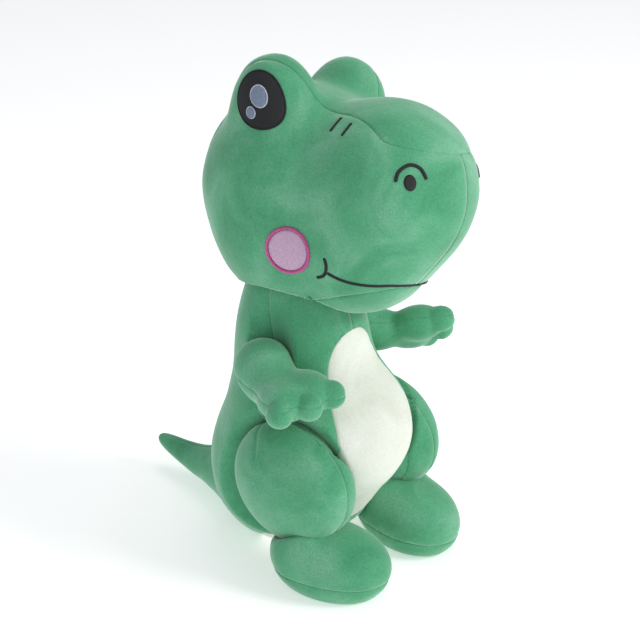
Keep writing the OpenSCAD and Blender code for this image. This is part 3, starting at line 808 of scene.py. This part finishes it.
def build_torso():
    c = TORSO_HEART
    base_ring = crowded(*BASE, 60)
    half = 30
    belly_ring = crowded(*BELLY_SPAN, 110)
    chest = np.concatenate([base_ring[half:], even(BASE[1], BELLY_SPAN[0], 6)[1:], belly_ring[1:],
                            even(BELLY_SPAN[1], SIDE_SEAM, 22)[1:]])
    back = np.concatenate([even(SIDE_SEAM, BASE[0] + 360, 110), base_ring[1:half + 1] + 360])
    lines = []
    for s in (-1, 1):
        lines.append(seam_points(c, sideways(s * torso_strip(belly_ring), belly_ring), torso_reach))
        lines.append(seam_points(c, sideways(s * torso_strip(base_ring), base_ring), torso_reach))
        for v in (SIDE_SEAM, base_ring[half]):
            low = 0 if v == SIDE_SEAM else float(torso_strip(v))
            lines.append(seam_points(c, sideways(s * even(low, 89.9, 90), v), torso_reach))
    for a, b in ((BASE[1], BELLY_SPAN[0]), (BELLY_SPAN[1], SIDE_SEAM), (SIDE_SEAM, BASE[0] + 360)):
        lines.append(seam_points(c, sideways(0, even(a, b, 120)), torso_reach))
    seams = np.concatenate(lines)
    look = dict(seams=seams, depth=1.3, width=6, lump=1.0, seed=11, low=6.0)
    for s, side in SIDES:
        for name, ring in (("chest_panel", chest), ("back_panel", back)):
            panel(f"{name}_{side}_fabric", "torso", c, side_grid(s, ring, torso_strip, 60), torso_reach,
                  edges=("last", "start", "end"), slot="green_plush", pole_first=True, **look)
    panel("belly_panel_fabric", "torso", c, strip_grid(belly_ring, torso_strip, 44), torso_reach,
          edges=("first", "last"), slot="cream_plush", tips=True, **look)
    panel("base_panel_fabric", "torso", c, strip_grid(base_ring, torso_strip, 24), torso_reach,
          edges=("first", "last"), slot="cream_plush", tips=True, **look)
    filling("torso_stuffing", "torso", c, band_grid(90, -90, 56, 112), torso_reach, inset=10)


# ---------------------------------------------------------------- arms, legs, feet, tail


def build_arms():
    for s, side in SIDES:
        skin = arm_reach(s)
        seams = seam_points(ARM_HEART, cap_grid(0, 0, 1, 260)[0], skin)
        look = dict(seams=seams, depth=1.1, width=5, lump=0.7, seed=21 + s)
        for name, a in (("arm_upper_panel", 90), ("arm_under_panel", -90)):
            panel(f"{name}_{side}_fabric", f"arm_{side}", ARM_HEART, cap_grid(a, 0, 44, 190), skin,
                  edges=("last",), slot="green_plush", pole_first=True, ring=True, **look)
        filling(f"arm_stuffing_{side}", f"arm_{side}", ARM_HEART, cap_grid(90, -90, 40, 90), skin)


def build_legs():
    for s, side in SIDES:
        kind = "leg_right" if s < 0 else "leg_left"
        dart = np.array(((64, 3, 137), (76, 0, 133), (85, -5, 126), (89, -8, 119))) - LEG_HEART
        dart = smooth_path(dart, 20)
        dart = seam_points(LEG_HEART, dart / np.linalg.norm(dart, axis=1)[:, None], leg_reach)
        seams = np.concatenate([seam_points(LEG_HEART, band_grid(v, v, 1, 200)[0], leg_reach)
                                for v in (-12, -38)])
        look = dict(seams=seams, depth=1.2, width=6, lump=0.9, seed=31 + s)
        for name, a, b, rows, pole in (("leg_outer_panel", 90, -12, 64, True),
                                       ("leg_gusset", -12, -38, 14, False),
                                       ("leg_inner_panel", -90, -38, 26, True)):
            panel(f"{name}_{side}_fabric", kind, LEG_HEART, band_grid(a, b, rows, 200), leg_reach,
                  edges=("last",) if pole else ("first", "last"), slot="green_plush", pole_first=pole,
                  extra=lambda p: -1.5 * np.exp(-(nearest(p, dart) / 1.7) ** 2), ring=True, **look)
        filling(f"leg_stuffing_{side}", kind, LEG_HEART, band_grid(90, -90, 40, 80), leg_reach)
        foot = FEET[s]
        c, skin = np.array(foot[0], float), foot_reach(foot)
        seams = seam_points(c, cap_grid(-4, -4, 1, 200)[0], skin)
        look = dict(seams=seams, depth=1.3, width=6, lump=0.8, seed=41 + s, low=5.0)
        for name, a in (("foot_top", 90), ("foot_sole", -90)):
            panel(f"{name}_{side}_fabric", kind, c, cap_grid(a, -4, 36, 140), skin, edges=("last",),
                  slot="green_plush", pole_first=True, ring=True, **look)
        filling(f"foot_stuffing_{side}", kind, c, cap_grid(90, -90, 32, 70), skin)


def tail_point(u, a, inset=0.0):
    """A point of the tail: u runs from -1 at the root's end through 0 to 1 at the tip, a goes round."""
    u, a = np.broadcast_arrays(np.asarray(u, float), np.asarray(a, float))
    fore = np.clip(u, 0, 1)
    r = np.where(u < 0, TAIL_R * np.sqrt(np.clip(1 - u * u, 0, 1)),
                 (TAIL_R - 8) * (1 - fore) ** 1.4 + 8 * np.sqrt(np.clip(1 - fore ** 16, 0, 1)))
    z = TAIL_ROOT[2] - 6 * (1 - np.cos(np.pi * np.clip(u / 0.6, 0, 1))) / 2
    z = z + 7 * (np.maximum(u - 0.5, 0) / 0.5) ** 1.6
    flat = TAIL_W / TAIL_R
    wide = r * np.where(u < 0, flat, 1 + (flat - 1) * np.maximum(1 - fore / 0.7, 0) ** 1.5)
    y = TAIL_ROOT[1] + np.where(u < 0, u * (TAIL_W - inset), u * (TAIL_LENGTH - inset))
    return np.stack([np.maximum(wide - inset, 0.3 * r) * np.sin(a), y,
                     z + np.maximum(r - inset, 0.3 * r) * np.cos(a)], -1)


def build_tail():
    u = np.concatenate([-np.cos(np.linspace(0, np.pi / 2, 26)), 1 - (1 - np.linspace(0, 1, 90)[1:]) ** 2.2])
    seams = np.concatenate([tail_point(u, 0.0), tail_point(u, np.pi)])
    for s, side in SIDES:
        a = s * even(0, np.pi, 40)[:, None]
        p = tail_point(u[None], a)
        n = np.cross(np.gradient(p, axis=0), np.gradient(p, axis=1))
        n /= np.maximum(np.linalg.norm(n, axis=-1, keepdims=True), 1e-9)
        middle = tail_point(u, 0.0) + tail_point(u, np.pi)
        n *= np.where(((n * (p - middle[None] / 2)).sum(-1) < 0), -1, 1)[..., None]
        rise = relief(p, seams, 1.1, 5, 0.7, 51)
        fade = np.clip((1 - u) / 0.06, 0, 1) * np.clip((1 + u) / 0.2, 0, 1)
        p, n, rise = folded(p, n, rise * fade[None], ("first", "last"))
        p = p + n * rise[..., None]
        p[..., 2] = np.maximum(p[..., 2], 0.2)
        obj = surface(f"tail_panel_{side}_fabric", p, tips=True)
        fix_normals(obj)
        face_out(obj, TAIL_ROOT * MM)
        finish_piece(obj, "tail", "green_plush", (f"tail_panel_{side}",))
    a = even(0, 2 * np.pi, 60)[None]
    p = tail_point(u[::2][:, None], a, 7)
    p = p + (0.5 * bumps(p, 8, 9))[..., None]
    p[..., 2] = np.maximum(p[..., 2], 1.5)
    obj = surface("tail_stuffing_fibre", p, pole_first=True, pole_last=True, ring=True, thick=0)
    fix_normals(obj)
    finish_piece(obj, "tail", "wadding", ("tail_stuffing",))


camera()
studio()
build_face(build_head())
build_torso()
build_arms()
build_legs()
build_tail()
